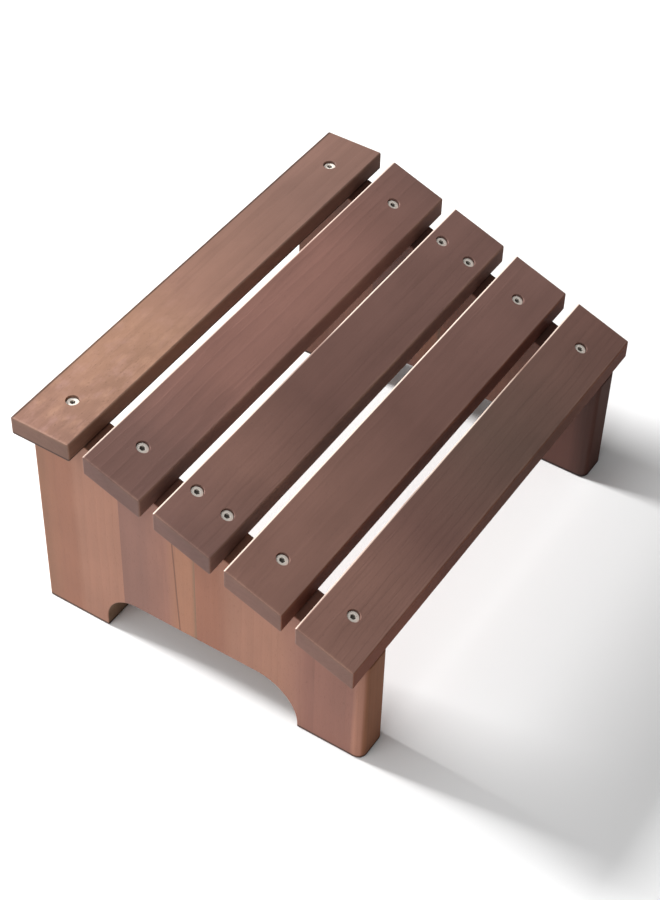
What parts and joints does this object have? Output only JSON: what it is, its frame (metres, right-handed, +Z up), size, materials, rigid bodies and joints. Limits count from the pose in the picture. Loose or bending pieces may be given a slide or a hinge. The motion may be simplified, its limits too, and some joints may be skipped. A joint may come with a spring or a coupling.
{
  "type": "under-desk footrest",
  "caption": "Slatted wooden footrest on two arched side panels, with a level toe slat at the rear and a tread that slopes down towards the heels.",
  "frame": {"origin": "on the floor, under the middle of the whole footrest", "axes": "+X along the slats, -Y to the front where the heels are and the tread is low, +Y to the rear where the toes are, +Z up"},
  "size_m": [0.4, 0.2818, 0.1983],
  "materials": {
    "slat_wood": "dark walnut-coloured wood, satin, fine straight grain along the slat",
    "side_wood": "warm reddish-brown wood staves of uneven tone, edge glued, satin, grain upright",
    "screw_steel": "bright plated hex-socket screw heads"
  },
  "bodies": {
    "root": {"tread_slat_1": "slat_wood", "tread_slat_2": "slat_wood", "tread_slat_3": "slat_wood", "tread_slat_4": "slat_wood", "tread_slat_5": "slat_wood", "left_side_stave_1": "side_wood", "left_side_stave_2": "side_wood", "left_side_stave_3": "side_wood", "left_side_stave_4": "side_wood", "left_side_stave_5": "side_wood", "right_side_stave_1": "side_wood", "right_side_stave_2": "side_wood", "right_side_stave_3": "side_wood", "right_side_stave_4": "side_wood", "right_side_stave_5": "side_wood", "screw_left_1": "screw_steel", "screw_left_2": "screw_steel", "screw_left_3_rear": "screw_steel", "screw_left_3_front": "screw_steel", "screw_left_4": "screw_steel", "screw_left_5": "screw_steel", "screw_right_1": "screw_steel", "screw_right_2": "screw_steel", "screw_right_3_rear": "screw_steel", "screw_right_3_front": "screw_steel", "screw_right_4": "screw_steel", "screw_right_5": "screw_steel"}
  },
  "joints": []
}
